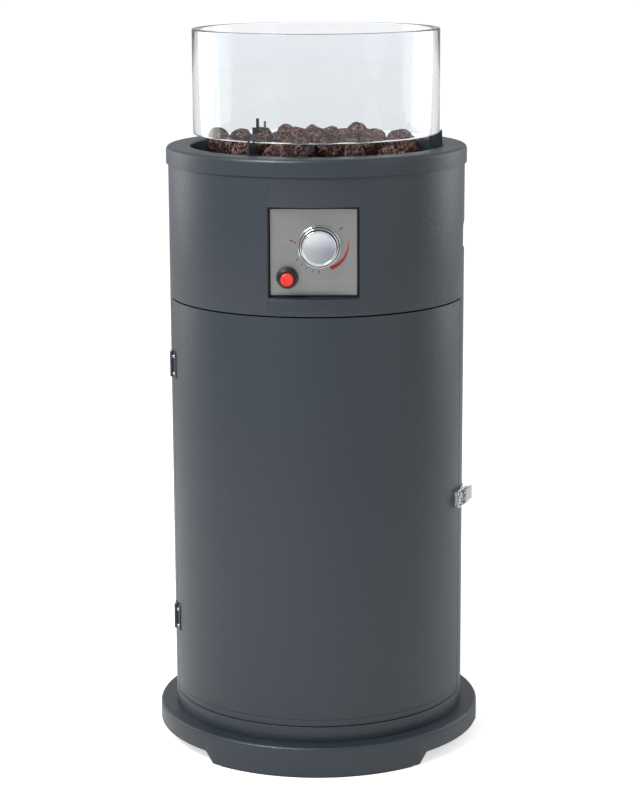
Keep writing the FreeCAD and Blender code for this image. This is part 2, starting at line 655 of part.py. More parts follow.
def knob_parts():
    """Fixed bezel, push-and-turn knob with its face, stem and the collar that slides with them."""
    front = "panel_depth"
    keep(rod("knob_bezel", "bezel_radius", "bezel_depth", "knob_x", f"-{front} - bezel_depth",
             "knob_level", "y", wall="bezel_radius - knob_skirt - 0.6"), "knob_bezel")
    start = f"-{front} - knob_travel - 0.7"
    skirt = rod("knob_skirt_disc", "knob_skirt", "3", "knob_x", f"{start} - 3", "knob_level", "y")
    grip = rod("knob_grip", "knob_radius - 0.8", "knob_length - 3", "knob_x",
               f"{start} - knob_length", "knob_level", "y")
    socket = rod("knob_socket", "stem_radius", "9", "knob_x", f"{start} - 8", "knob_level", "y")
    keep(cut("control_knob", join("knob_body", skirt, grip), socket), "control_knob")
    keep(rod("knob_face", "knob_radius", "1.2", "knob_x", f"{start} - knob_length - 1.2",
             "knob_level", "y"), "knob_face")
    body_start = "(-panel_depth + panel_sheet + frame_sheet)"
    collar_start = f"({body_start} + 6)"
    shank = rod("stem_shank", "stem_radius", f"({collar_start}) + 8.3 - ({start} - 8)", "knob_x",
                f"{start} - 8", "knob_level", "y")
    head = rod("stem_head", "stem_radius + 2.5", "2", "knob_x", f"{collar_start} + 8.3", "knob_level",
               "y")
    keep(join("valve_stem", shank, head), "valve_stem")
    ring = rod("collar_ring", "stem_radius + 3.95", "8", "knob_x", collar_start, "knob_level", "y")
    ring_bore = rod("collar_bore", "stem_radius + 0.05", "10", "knob_x", f"{collar_start} - 1",
                    "knob_level", "y")
    keep(cut("stem_collar", ring, ring_bore), "stem_collar")
    shell = rod("valve_shell", "valve_radius", "valve_length", "knob_x", body_start, "knob_level", "y")
    bore = rod("valve_bore", "stem_radius + 4", "valve_length - 9", "knob_x", f"{body_start} + 4",
               "knob_level", "y")
    mouth = rod("valve_mouth", "stem_radius + 0.05", "8", "knob_x", f"{body_start} - 2",
                "knob_level", "y")
    outlet = rod("valve_outlet", "6", "10", "knob_x", f"{body_start} + valve_length", "knob_level",
                 "y")
    inlet = rod("valve_inlet", "6", "18", "knob_x", f"{body_start} + 25",
                "knob_level - valve_radius - 16", "z")
    keep(cut("gas_valve", join("valve_solid", shell, outlet, inlet),
             group("valve_hollows", bore, mouth)), "gas_valve")
    keep(lathe_fitting(body_start), "inlet_fitting")


def lathe_fitting(body_start):
    """Gas inlet below the valve: a hexagon and a round stub for the supply hose."""
    low = "(knob_level - valve_radius - 16)"
    nut = doc.addObject("Part::Prism", "inlet_hexagon")
    nut.Polygon = 6
    bind(nut, Circumradius="11", Height="9")
    for letter, text in zip("xyz", ("knob_x", f"{body_start} + 25", f"{low} - 9")):
        nut.setExpression(f".Placement.Base.{letter}", linked(text))
    stub = rod("inlet_stub", "inlet_radius", "inlet_length", "knob_x", f"{body_start} + 25",
               f"{low} - 9 - inlet_length")
    bore = rod("inlet_bore", "inlet_radius - 3.5", "inlet_length + 5", "knob_x", f"{body_start} + 25",
               f"{low} - 10 - inlet_length")
    return cut("inlet_fitting", join("inlet_solid", nut, stub), bore)


def igniter_parts():
    """Piezo igniter: nose on the panel, body and nut behind it, and the sprung button."""
    front = "-panel_depth"
    nose = doc.addObject("Part::Cone", "nose_solid")
    nose.Placement = Placement(Vector(0, 0, 0), AXES["y"])
    bind(nose, Radius1="nose_front", Radius2="nose_radius", Height="nose_length")
    for letter, text in zip("xyz", ("button_x", f"{front} - nose_length", "button_level")):
        nose.setExpression(f".Placement.Base.{letter}", linked(text))
    throat = rod("nose_throat", "button_radius + 0.08", "nose_length + 2", "button_x",
                 f"{front} - nose_length - 1", "button_level", "y")
    keep(cut("igniter_nose", nose, throat), "igniter_nose")
    shell = rod("igniter_shell", "igniter_radius", "igniter_length", "button_x", front,
                "button_level", "y")
    chamber = rod("igniter_chamber", "button_radius + 0.08", "14", "button_x", f"{front} - 1",
                  "button_level", "y")
    keep(cut("igniter_body", shell, chamber), "igniter_body")
    hexagon = doc.addObject("Part::Prism", "igniter_nut_hexagon")
    hexagon.Polygon = 6
    hexagon.Placement = Placement(Vector(0, 0, 0), AXES["y"])
    bind(hexagon, Circumradius="igniter_radius + 5", Height="5")
    for letter, text in zip("xyz", ("button_x", f"{front} + panel_sheet + frame_sheet", "button_level")):
        hexagon.setExpression(f".Placement.Base.{letter}", linked(text))
    bore = rod("igniter_nut_bore", "igniter_radius + 0.1", "12", "button_x", f"{front} - 1",
               "button_level", "y")
    keep(cut("igniter_nut", hexagon, bore), "igniter_nut")
    keep(rod("igniter_button", "button_radius", "nose_length + button_out + 4", "button_x",
             f"{front} - nose_length - button_out", "button_level", "y"), "igniter_button")


def gas_pipe():
    """Bent metal pipe from the valve to the injector under the mixer tube."""
    level, start = size("knob_level"), size("-panel_depth + panel_sheet + frame_sheet + valve_length + 10")
    low, x = size("mixer_low"), size("knob_x")
    corners = [Vector(x, start, level), Vector(x, start + 22, level),
               Vector(0, -34, low - 18), Vector(0, 0, low - 18), Vector(0, 0, low + 2)]
    return keep(bent_rod("gas_pipe", corners, 4, 10), "gas_pipe")


# ---------------------------------------------------------------- hinges and latch
def hinge(label, level):
    """External butt hinge: a shell leaf with two knuckles, a door leaf with one, and a pin."""
    low = f"({level} - hinge_height / 2)"
    third = "(hinge_height - knuckle - 0.6) / 2"
    bore = "pin_radius + pin_clear"
    turn = "(-90 - seam_azimuth)"
    knuckles = {"shell": ((low, third), (f"{low} + {third} + knuckle + 0.6", third)),
                "door": ((f"{low} + {third} + 0.3", "knuckle"),)}
    step = size("leaf_width / body_radius * 180 / pi")
    for side, ends in (("shell", (-step, -0.2)), ("door", (0.2, step))):
        pieces = [sector(f"{label}_{side}_plate", "body_radius + 0.15",
                         "body_radius + 0.15 + leaf_sheet", f"{turn} + {ends[0]:.4f}",
                         f"{turn} + {ends[1]:.4f}", low, f"{low} + hinge_height")]
        eyes = []
        for start, tall in knuckles[side]:
            eye = rod(f"{label}_{side}_eye", "barrel_radius", tall, "0", "0", start)
            place_on_axis(eye)
            pieces.append(eye)
        for start, tall in knuckles["door" if side == "shell" else "shell"]:
            room = rod(f"{label}_{side}_room", "barrel_radius + 0.3", f"{tall} + 0.6", "0", "0",
                       f"{start} - 0.3")
            place_on_axis(room)
            eyes.append(room)
        hole = rod(f"{label}_{side}_bore", bore, "hinge_height + 2", "0", "0", f"{low} - 1")
        place_on_axis(hole)
        eyes.append(hole)
        keep(cut(f"{label}_{side}_leaf", join(f"{label}_{side}_blank", *pieces),
                 group(f"{label}_{side}_cuts", *eyes)), f"{label}_{side}_leaf")
    pin = rod(f"{label}_pin_shank", "pin_radius", "hinge_height", "0", "0", low)
    head = rod(f"{label}_pin_head", "barrel_radius - 0.4", "1.4", "0", "0", f"{low} + hinge_height")
    place_on_axis(pin)
    place_on_axis(head)
    keep(join(f"{label}_pin", pin, head), f"{label}_pin")


def place_on_axis(item):
    """Moves an upright cylinder onto the door's hinge line."""
    item.setExpression(".Placement.Base.x", linked("-hinge_axis * sin(seam_azimuth)"))
    item.setExpression(".Placement.Base.y", linked("-hinge_axis * cos(seam_azimuth)"))


def hinge_rivets(side, sign):
    """Domed rivets through both hinges' leaves on one side of the seam."""
    heads = []
    for level in ("hinge_high_level", "hinge_low_level"):
        for rise in (-1, 1):
            turn = size("-90 - seam_azimuth") + sign * size("leaf_width * 0.62 / body_radius * 180 / pi")
            head = rod(f"rivet_{side}", "rivet_radius", "rivet_rise",
                       "body_radius + leaf_sheet + 0.18", "0", f"{level} + {rise} * hinge_height * 0.34", "x")
            heads.append(turned(group(f"rivet_{side}_turned", head), turn))
    return keep(group(f"hinge_{side}_rivets", *heads), f"hinge_{side}_rivets")


def latch_turn():
    """The latch is drawn on the +X axis and turned onto the seam."""
    return size("seam_azimuth") - 90


def latch_parts():
    """Over-centre latch: catch and rivets on the door; base, lever, pin and bail on the shell."""
    mid = "latch_level"
    plate_low, plate_high = "body_radius + 0.2", "body_radius + 1.4"
    catch_plate = sector("catch_plate", plate_low, plate_high, "-6.2", "-1", f"{mid} - 9", f"{mid} + 9")
    post_low, post_high = "(bail_reach + wire_radius + 0.3)", "(bail_reach + wire_radius + 1.8)"
    tip_low = "(bail_end + wire_radius + 0.4)"
    post = block("catch_post", "body_radius - 0.2", f"{tip_low} + 1.4", post_low, post_high,
                 f"{mid} - 5", f"{mid} + 5")
    tip = block("catch_tip", tip_low, f"{tip_low} + 1.4", "bail_reach - 1.6", post_high,
                f"{mid} - 5", f"{mid} + 5")
    keep(turned(join("latch_catch", catch_plate, post, tip), latch_turn()), "latch_catch")
    seat = f"sqrt(({plate_high})^2 - (catch_rivet_reach - rivet_radius)^2)"
    rivets = [rod("catch_rivet", "rivet_radius", "rivet_rise", seat, "-catch_rivet_reach",
                  f"{mid} + {side} * catch_rivet_spread", "x") for side in (-1, 1)]
    keep(turned(group("catch_rivets", *rivets), latch_turn()), "catch_rivets")
    base = sector("latch_base_plate", plate_low, plate_high, "0.6", "10", f"{mid} - 9", f"{mid} + 9")
    ears = []
    for side in (-1, 1):
        inner, outer = sorted((side * 4.2, side * 5.7))
        ears.append(block("latch_ear", "body_radius + 1", "latch_pivot + 2.2", "latch_pivot_y - 2.4",
                          "latch_pivot_y + 2.4", f"{mid} + {inner}", f"{mid} + {outer}"))
    pin_hole = rod("latch_ear_hole", "wire_radius + 0.06", "30", "latch_pivot", "latch_pivot_y",
                   f"{mid} - 15")
    keep(turned(cut("latch_base", join("latch_base_blank", base, *ears), pin_hole), latch_turn()),
         "latch_base")
    pin = rod("latch_pin_shank", "wire_radius", "2 * lever_half + 0.6", "latch_pivot",
              "latch_pivot_y", f"{mid} - lever_half - 0.3")
    keep(turned(group("latch_pin", pin), latch_turn()), "latch_pin")
    lever_parts(mid)


def lever_parts(mid):
    top_x = "(latch_pivot + 3.4)"
    cover = slab("lever_cover", "XY_Plane", [
        (f"{top_x}", "0"), (f"{top_x} + lever_sheet", "0"),
        (f"{top_x} + lever_sheet", "lever_length - 5"), (f"{top_x} + 2.2", "lever_length"),
        (f"{top_x} + 2.2 - lever_sheet", "lever_length"), (f"{top_x}", "lever_length - 4")],
        "2 * lever_half", mid)
    pieces = [cover]
    for side in (-1, 1):
        inner, outer = sorted((side * (size("lever_half") - 1.4), side * size("lever_half")))
        pieces.append(slab("lever_cheek", "XY_Plane", [
            ("latch_pivot - 2.2", "2.2"), ("latch_pivot - 0.8", "0.6"), (f"{top_x} + 0.5", "0"),
            (f"{top_x} + 0.5", "20"), ("latch_pivot - 1", "16")],
            f"{outer - inner}", f"{mid} + {(inner + outer) / 2}"))
    front = block("lever_front", "latch_pivot + 0.3", f"{top_x} + 0.5", "0.05", "1.4",
                  f"{mid} - 3.7", f"{mid} + 3.7")
    blank = join("lever_blank", *pieces, front)
    holes = group("lever_holes",
                  rod("lever_pin_hole", "wire_radius + 0.06", "30", "latch_pivot", "latch_pivot_y",
                      f"{mid} - 15"),
                  rod("lever_bail_hole", "wire_radius + 0.08", "30", "bail_x", "bail_y", f"{mid} - 15"))
    keep(turned(cut("latch_lever", blank, holes), latch_turn()), "latch_lever")
    x, y, reach = size("bail_x"), size("bail_y"), size("bail_reach")
    end, level, half = size("bail_end"), size(mid), size("bail_half")
    stub = size("lever_half") - 1.2
    corners = [Vector(x, y, level + stub), Vector(x, y, level + half), Vector(end, reach, level + half),
               Vector(end, reach, level - half), Vector(x, y, level - half), Vector(x, y, level - stub)]
    wire = bent_rod("latch_bail", corners, size("wire_radius"), 1.25)
    keep(turned(wire, latch_turn()), "latch_bail")


def shell_screws():
    """Screw heads at the back that hold the rear shell to the housing's shelf and the plinth."""
    heads = []
    for azimuth in (110, 145, 180, 215, 250):
        for level in ("housing_low + 6", "plinth_top - 9"):
            head = rod("shell_screw", "4", "2.2", "body_radius + 0.03", "0", level, "x")
            heads.append(turned(group("shell_screw_turned", head), azimuth - 90))
    return keep(group("shell_screws", *heads), "shell_screws")


def build():
    base_plate()
    rubber_feet()
    cylinder_ring()
    plinth_ring()
    rear_shell()
    door_shell()
    door_stiles()
    upper_housing()
    middle_shelf()
    top_cap()
    burner_pan()
    burner()
    burner_parts()
    igniter_tip()
    ignition_shield()
    lava_stones()
    glass_guard()
    for index, label in enumerate(("glass_bracket_left", "glass_bracket_right", "glass_bracket_rear")):
        glass_bracket(label, size("bracket_first") + 120 * index)
    bracket_screws()
    control_panel()
    panel_tray()
    knob_parts()
    igniter_parts()
    gas_pipe()
    hinge("upper_hinge", "hinge_high_level")
    hinge("lower_hinge", "hinge_low_level")
    hinge_rivets("shell", -1)
    hinge_rivets("door", 1)
    latch_parts()
    shell_screws()


build()
doc.recompute()
for item in doc.Objects:
    if {"Invalid", "Error"} & set(item.State):
        raise RuntimeError(f"{item.Name} failed: {item.State}")
for item in parts:
    if item.Shape.isNull() or not item.Shape.isValid() or not item.Shape.Solids:
        raise RuntimeError(f"{item.Label} has no valid shape")
os.makedirs("parts", exist_ok=True)
for item in parts:
    item.Shape.exportStep(f"parts/{item.Label}.step")
print("nodes:", len(parts))
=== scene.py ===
import bmesh
import bpy
import json
import math
import random
from mathutils import Matrix, Vector, noise


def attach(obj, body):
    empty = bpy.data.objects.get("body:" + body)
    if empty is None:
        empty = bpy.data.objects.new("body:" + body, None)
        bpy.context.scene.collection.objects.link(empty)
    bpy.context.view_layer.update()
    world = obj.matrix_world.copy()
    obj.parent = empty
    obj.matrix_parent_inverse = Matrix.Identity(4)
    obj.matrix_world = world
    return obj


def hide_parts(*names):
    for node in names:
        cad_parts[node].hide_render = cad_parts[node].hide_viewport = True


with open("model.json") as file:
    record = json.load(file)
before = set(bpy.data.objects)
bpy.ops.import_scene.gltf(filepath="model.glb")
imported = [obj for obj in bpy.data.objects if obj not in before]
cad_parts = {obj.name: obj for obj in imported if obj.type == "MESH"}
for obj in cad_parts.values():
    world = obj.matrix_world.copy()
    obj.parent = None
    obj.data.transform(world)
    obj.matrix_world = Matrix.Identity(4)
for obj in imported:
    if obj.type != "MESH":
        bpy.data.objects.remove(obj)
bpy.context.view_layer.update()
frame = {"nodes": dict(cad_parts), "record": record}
nodes = frame["nodes"]
bodyOf = {n: b for b, names in frame["record"]["behaviour"]["bodies"].items() for n in names}
slotOf = {s["node"]: s["material_slot"] for s in frame["record"]["subparts"]}
mm = 0.001

# Things a user may change, one dictionary per piece.
cabinet = {"radius": 180.0, "sheet": 1.5, "seam": 75.2, "halfGap": 0.25, "round": 0.5,
           "plinthTop": 57.0, "doorLow": 58.0, "doorHigh": 554.4, "housingLow": 556.0,
           "housingHigh": 734.0, "hemRise": 7.5, "hemHalf": 0.9, "hemDepth": 0.4}
vents = {"levels": (96.0, 414.0), "count": 4, "pitch": 18.0, "width": 70.0, "height": 6.0, "round": 3.0}
base = {"radius": 200.3, "low": 1.5, "top": 38.0, "sheet": 2.0, "round": 5.0,
        "archRise": 15.0, "archHalf": 78.0, "archSlope": 10.5, "archTurns": (65, 180, -65),
        "axisGap": 0.02}
cap = {"radius": 182.5, "mouth": 153.0, "top": 738.0, "low": 717.0, "sheet": 1.8, "round": 6.0,
       "collarLow": 712.0, "collarWidth": 11.0}
glass = {"radius": 149.3, "wall": 10.0, "low": 752.0, "high": 877.0, "round": 1.6}
window = {"side": 106.0, "level": 629.5, "round": 1.2}
panelDepth = 167.0
handHole = {"width": 58.0, "height": 34.0, "level": 628.0, "round": 10.0}
knob = {"x": 6.5, "z": 636.0, "bezel": 25.4, "inner": 23.1, "skirt": 22.5, "grip": 19.4,
        "face": 20.2, "flutes": 60, "fluteDepth": 0.35}
igniter = {"x": -30.5, "z": 600.0, "noseRear": 13.0, "noseFront": 10.2, "noseLength": 15.0,
           "cap": 7.6, "capOut": 4.0, "capGap": 0.15}
dial = {"lift": 0.06, "arcSteps": 40, "arcFrom": 11.0, "arcSpan": 74.0, "arcRadius": 33.8, "arcDrift": 6.0,
        "arcHalf": 0.25, "arcGrowth": 2.2, "dotRadius": 1.3, "dotX": -28.2, "dotZ": 4.8,
        "ticks": ((168, 31, 34.5, 1.6), (40, 31, 34.5, 1.6), (-90, 28, 30.6, 1.2), (-105, 28, 30.0, 1.0),
                  (-120, 28, 30.0, 1.0), (-135, 28, 30.0, 1.0), (-150, 28, 30.6, 1.2))}
heads = {"hinge_shell_rivets": (2.2, 1.2, False), "hinge_door_rivets": (2.2, 1.2, False),
         "catch_rivets": (2.0, 1.3, False), "shell_screws": (4.0, 2.2, True),
         "bracket_screws": (2.6, 2.0, True)}
stones = {"seed": 5, "swell": 1.08, "facets": 14, "topLevel": 722.0}
paint = {"colour": (0.021, 0.029, 0.038), "grain": 430.0, "depth": 0.00013, "roughness": 0.36}
light = {"around": 0.52, "keyPower": 84.0, "fillPower": 6.0, "rimPower": 7.0}
lens = {"across": 3.09, "away": 2797.5, "height": 1018.4, "length": 103.65,
        "pitch": 0.2108, "roll": -0.004, "turn": 1.2}


# Shader maths and finishes.
class Wire:
    def __init__(self, tree, socket):
        self.tree, self.socket = tree, socket

    def maths(self, kind, other):
        node = self.tree.nodes.new("ShaderNodeMath")
        node.operation = kind
        for slot, item in zip(node.inputs, (self, other)):
            if isinstance(item, Wire):
                self.tree.links.new(item.socket, slot)
            else:
                slot.default_value = item
        return Wire(self.tree, node.outputs[0])

    def __add__(self, other):
        return self.maths("ADD", other)

    def __mul__(self, other):
        return self.maths("MULTIPLY", other)

    def ramp(self, low, high):
        node = self.tree.nodes.new("ShaderNodeMapRange")
        node.inputs["From Min"].default_value = low
        node.inputs["From Max"].default_value = high
        self.tree.links.new(self.socket, node.inputs["Value"])
        return Wire(self.tree, node.outputs[0])


class Finish:
    def __init__(self, name, **settings):
        self.material = bpy.data.materials.new(name)
        self.material.use_nodes = True
        self.tree = self.material.node_tree
        self.shader = self.tree.nodes["Principled BSDF"]
        for key, value in settings.items():
            socket = self.shader.inputs[key.replace("_", " ")]
            socket.default_value = (*value, 1.0) if isinstance(value, tuple) else value

    def coords(self, stretch=(1, 1, 1)):
        source = self.tree.nodes.new("ShaderNodeTexCoord")
        scale = self.tree.nodes.new("ShaderNodeVectorMath")
        scale.operation = "MULTIPLY"
        scale.inputs[1].default_value = stretch
        self.tree.links.new(source.outputs["Object"], scale.inputs[0])
        return scale.outputs[0]

    def noise(self, scale, detail=3.0, stretch=(1, 1, 1), rough=0.5):
        node = self.tree.nodes.new("ShaderNodeTexNoise")
        node.inputs["Scale"].default_value = scale
        node.inputs["Detail"].default_value = detail
        node.inputs["Roughness"].default_value = rough
        self.tree.links.new(self.coords(stretch), node.inputs["Vector"])
        return Wire(self.tree, node.outputs["Fac"])

    def position(self, axis):
        node = self.tree.nodes.new("ShaderNodeSeparateXYZ")
        self.tree.links.new(self.coords(), node.inputs[0])
        return Wire(self.tree, node.outputs[axis])

    def cells(self, scale, randomness=1.0):
        node = self.tree.nodes.new("ShaderNodeTexVoronoi")
        node.inputs["Scale"].default_value = scale
        node.inputs["Randomness"].default_value = randomness
        self.tree.links.new(self.coords(), node.inputs["Vector"])
        return Wire(self.tree, node.outputs["Distance"])

    def attribute(self, name):
        node = self.tree.nodes.new("ShaderNodeAttribute")
        node.attribute_name = name
        return Wire(self.tree, node.outputs["Fac"])

    def blend(self, factor, first, second):
        node = self.tree.nodes.new("ShaderNodeMix")
        node.data_type = "RGBA"
        self.tree.links.new(factor.socket, node.inputs[0])
        for slot, item in ((node.inputs[6], first), (node.inputs[7], second)):
            if isinstance(item, Wire):
                self.tree.links.new(item.socket, slot)
            else:
                slot.default_value = (*item, 1.0)
        return Wire(self.tree, node.outputs[2])

    def feed(self, name, wire):
        self.tree.links.new(wire.socket, self.shader.inputs[name])
        return self

    def bump(self, height, distance, strength=1.0):
        node = self.tree.nodes.new("ShaderNodeBump")
        node.inputs["Distance"].default_value = distance
        node.inputs["Strength"].default_value = strength
        self.tree.links.new(height.socket, node.inputs["Height"])
        self.tree.links.new(node.outputs[0], self.shader.inputs["Normal"])
        return self


def makeFinishes():
    made = {}
    slate = Finish("slatePaint", Roughness=paint["roughness"], Specular_IOR_Level=0.55)
    grain = slate.noise(paint["grain"], 2.0)
    broad = slate.noise(7.0, 2.0)
    tint = tuple(c * 1.25 for c in paint["colour"])
    slate.feed("Base Color", slate.blend(grain * 0.5 + broad * 0.4, paint["colour"], tint))
    slate.feed("Roughness", broad * 0.08 + (paint["roughness"] - 0.04))
    slate.bump(grain + slate.noise(paint["grain"] * 2.3, 1.0) * 0.4, paint["depth"] * 3)
    made["slate_paint"] = slate
    black = Finish("heatBlack", Base_Color=(0.007, 0.007, 0.008), Roughness=0.6,
                   Specular_IOR_Level=0.3)
    made["black_paint"] = black.bump(black.noise(900.0), 0.0001)
    panel = Finish("brushedPanel", Base_Color=(0.42, 0.42, 0.41), Metallic=1.0, Roughness=0.38)
    lines = panel.noise(3.0, 4.0, (4, 4, 900))
    panel.feed("Base Color", panel.blend(lines, (0.27, 0.27, 0.268), (0.43, 0.43, 0.425)))
    panel.feed("Roughness", lines * 0.2 + 0.3)
    made["panel_steel"] = panel.bump(lines, 0.00003)
    made["knob_chrome"] = Finish("chrome", Base_Color=(0.86, 0.86, 0.87), Metallic=1.0,
                                 Roughness=0.06)
    satin = Finish("satinFace", Base_Color=(0.74, 0.76, 0.80), Metallic=1.0, Roughness=0.24)
    # The face is painted pale on the left and darker, bluer on the right along X: a painted reflection
    # standing in for the lamps' sheen on the satin face.
    side = satin.position("X").ramp((knob["x"] - 14) * mm, (knob["x"] + 12) * mm)
    satin.feed("Base Color", satin.blend(side, (0.86, 0.89, 0.88), (0.52, 0.55, 0.64)))
    made["knob_satin"] = satin.bump(satin.noise(4.0, 3.0, (1, 1, 500)), 0.00001)
    made["knob_black"] = Finish("blackPlastic", Base_Color=(0.012, 0.012, 0.013), Roughness=0.32)
    red = Finish("redPlastic", Base_Color=(0.72, 0.028, 0.015), Roughness=0.33, Coat_Weight=0.15)
    made["button_red"] = red
    zinc = Finish("zincSteel", Base_Color=(0.56, 0.57, 0.59), Metallic=1.0, Roughness=0.28)
    made["zinc_steel"] = zinc.feed("Roughness", zinc.noise(160.0) * 0.18 + 0.2)
    rock = Finish("lavaRock", Roughness=0.93, Specular_IOR_Level=0.22)
    tone = rock.attribute("tone")
    patch = rock.noise(110.0, 4.0, rough=0.65)
    pores = rock.cells(520.0).ramp(0.18, 0.55)
    pits = rock.cells(270.0).ramp(0.14, 0.46)
    body = rock.blend(tone, (0.150, 0.100, 0.095), (0.430, 0.215, 0.165))
    body = rock.blend(patch.ramp(0.45, 0.75), body, (0.50, 0.34, 0.29))
    body = rock.blend(patch.ramp(0.55, 0.30), body, (0.095, 0.078, 0.078))
    # Pores and pits are painted near-black: painted shade inside the rock's hollows.
    rock.feed("Base Color", rock.blend(pores * pits, (0.026, 0.016, 0.015), body))
    rock.bump(pores * 0.5 + pits * 1.0 + rock.noise(600.0, 4.0) * 0.4, 0.0042, 1.0)
    made["lava_rock"] = rock
    made["clear_glass"] = Finish("clearGlass", Base_Color=(0.86, 0.88, 0.90), Roughness=0.0,
                                 IOR=1.4, Transmission_Weight=1.0)
    rubber = Finish("rubber", Base_Color=(0.015, 0.015, 0.015), Roughness=0.7)
    made["foot_rubber"] = rubber.bump(rubber.noise(700.0), 0.0001)
    made["brass_fitting"] = Finish("brass", Base_Color=(0.62, 0.44, 0.20), Metallic=1.0, Roughness=0.3)
    made["white_ceramic"] = Finish("ceramic", Base_Color=(0.78, 0.77, 0.73), Roughness=0.2)
    burner = Finish("burnerSteel", Base_Color=(0.24, 0.22, 0.20), Metallic=1.0, Roughness=0.5)
    made["burner_steel"] = burner.feed("Roughness", burner.noise(90.0) * 0.3 + 0.35)
    made["print_red"] = Finish("redPrint", Base_Color=(0.42, 0.012, 0.012), Roughness=0.5)
    made["print_black"] = Finish("blackPrint", Base_Color=(0.05, 0.05, 0.05), Roughness=0.6)
    return {name: finish.material for name, finish in made.items()}


finishes = makeFinishes()
print("finishes made")


# Meshes from profiles and outlines.
def addMesh(name, mesh, body, finish, stands=(), angle=32):
    mesh.shade_smooth()
    mesh.set_sharp_from_angle(angle=math.radians(angle))
    item = bpy.data.objects.new(name, mesh)
    bpy.context.scene.collection.objects.link(item)
    mesh.materials.clear()
    mesh.materials.append(finishes[finish])
    if stands:
        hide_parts(*stands)
    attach(item, body)
    return item


def meshOf(name, shape, turnOut=True):
    if turnOut:
        bmesh.ops.recalc_face_normals(shape, faces=shape.faces)
    mesh = bpy.data.meshes.new(name)
    shape.to_mesh(mesh)
    shape.free()
    return mesh


def point(radius, azimuth, height):
    turn = math.radians(azimuth)
    return Vector((radius * math.sin(turn), -radius * math.cos(turn), height)) * mm


# A closed profile of (radius, height) corners swept about the upright axis.
def sweep(name, profile, start=0.0, end=360.0, step=1.0):
    whole = abs(end - start) >= 360
    count = int(round((end - start) / step))
    turns = [start + (end - start) * k / count for k in range(count + (0 if whole else 1))]
    shape = bmesh.new()
    rings = [[shape.verts.new(point(r, a, z)) for r, z in profile] for a in turns]
    pairs = list(zip(rings, rings[1:] + rings[:1])) if whole else list(zip(rings, rings[1:]))
    size = len(profile)
    for near, far in pairs:
        for k in range(size):
            shape.faces.new((near[k], far[k], far[(k + 1) % size], near[(k + 1) % size]))
    if not whole:
        shape.faces.new(rings[0])
        shape.faces.new(rings[-1][::-1])
    return meshOf(name, shape)


# Rounds the convex and concave corners of a profile; radii run along with the corners.
def rounded(corners, steps=5):
    made = []
    size = len(corners)
    for k, (x, y, radius) in enumerate(corners):
        here = Vector((x, y))
        if radius <= 0:
            made.append((x, y))
            continue
        before = Vector(corners[k - 1][:2]) - here
        after = Vector(corners[(k + 1) % size][:2]) - here
        half = before.angle(after) / 2
        reach = min(radius / math.tan(half), before.length * 0.49, after.length * 0.49)
        first, last = here + before.normalized() * reach, here + after.normalized() * reach
        for s in range(steps + 1):
            t = s / steps
            spot = first * (1 - t) ** 2 + here * 2 * t * (1 - t) + last * t ** 2
            made.append((spot.x, spot.y))
    return made


# A profile of (radius, depth) turned about a line through (x, z) along Y; flutes ripple the wall.
def turnKnob(name, profile, x, z, flutes=0, depth=0.0, count=192):
    shape = bmesh.new()
    rings = []
    for k in range(count):
        turn = 2 * math.pi * k / count
        ring = []
        for radius, away, *mark in profile:
            if mark and flutes:
                radius -= depth * (0.5 + 0.5 * math.cos(flutes * turn))
            ring.append(shape.verts.new(Vector((x + radius * math.cos(turn), away,
                                                z + radius * math.sin(turn))) * mm))
        rings.append(ring)
    for near, far in zip(rings, rings[1:] + rings[:1]):
        for k in range(len(profile) - 1):
            shape.faces.new((near[k], far[k], far[k + 1], near[k + 1]))
    bmesh.ops.remove_doubles(shape, verts=shape.verts, dist=1e-7)
    return meshOf(name, shape)


def prism(name, outline, start, end, place=Matrix()):
    shape = bmesh.new()
    near = [shape.verts.new(place @ (Vector((x, start, z)) * mm)) for x, z in outline]
    far = [shape.verts.new(place @ (Vector((x, end, z)) * mm)) for x, z in outline]
    size = len(outline)
    shape.faces.new(near)
    shape.faces.new(far[::-1])
    for k in range(size):
        shape.faces.new((near[k], far[k], far[(k + 1) % size], near[(k + 1) % size]))
    return meshOf(name, shape)


def baked(item):
    graph = bpy.context.evaluated_depsgraph_get()
    mesh = bpy.data.meshes.new_from_object(item.evaluated_get(graph))
    item.modifiers.clear()
    bpy.data.objects.remove(item)
    return mesh


# Cuts prisms out of a mesh, then softens the new edges.
def carve(name, mesh, cutters, soften=0.45):
    item = bpy.data.objects.new(name + "Blank", mesh)
    bpy.context.scene.collection.objects.link(item)
    tools = []
    for cutter in cutters:
        tool = bpy.data.objects.new(cutter.name, cutter)
        bpy.context.scene.collection.objects.link(tool)
        tools.append(tool)
        step = item.modifiers.new("cut", "BOOLEAN")
        step.object, step.solver = tool, "EXACT"
    edge = item.modifiers.new("soften", "BEVEL")
    edge.width, edge.segments, edge.limit_method = soften * mm, 2, "ANGLE"
    edge.angle_limit = math.radians(50)
    made = baked(item)
    for tool in tools:
        bpy.data.objects.remove(tool)
    made.name = name
    return made


def turnedTo(azimuth):
    return Matrix.Rotation(math.radians(azimuth), 4, "Z")


def rectangle(width, low, high, radius=0.6):
    half = width / 2
    return rounded([(-half, low, radius), (half, low, radius), (half, high, radius), (-half, high, radius)])


# Painted sheet parts and the glass.
# The profile of a straight sheet wall between two levels.
def wall(low, high):
    r, edge = cabinet["radius"], cabinet["round"]
    inner = r - cabinet["sheet"]
    return rounded([(inner, low, 0.2), (r, low, edge), (r, high, edge), (inner, high, 0.2)], 3)


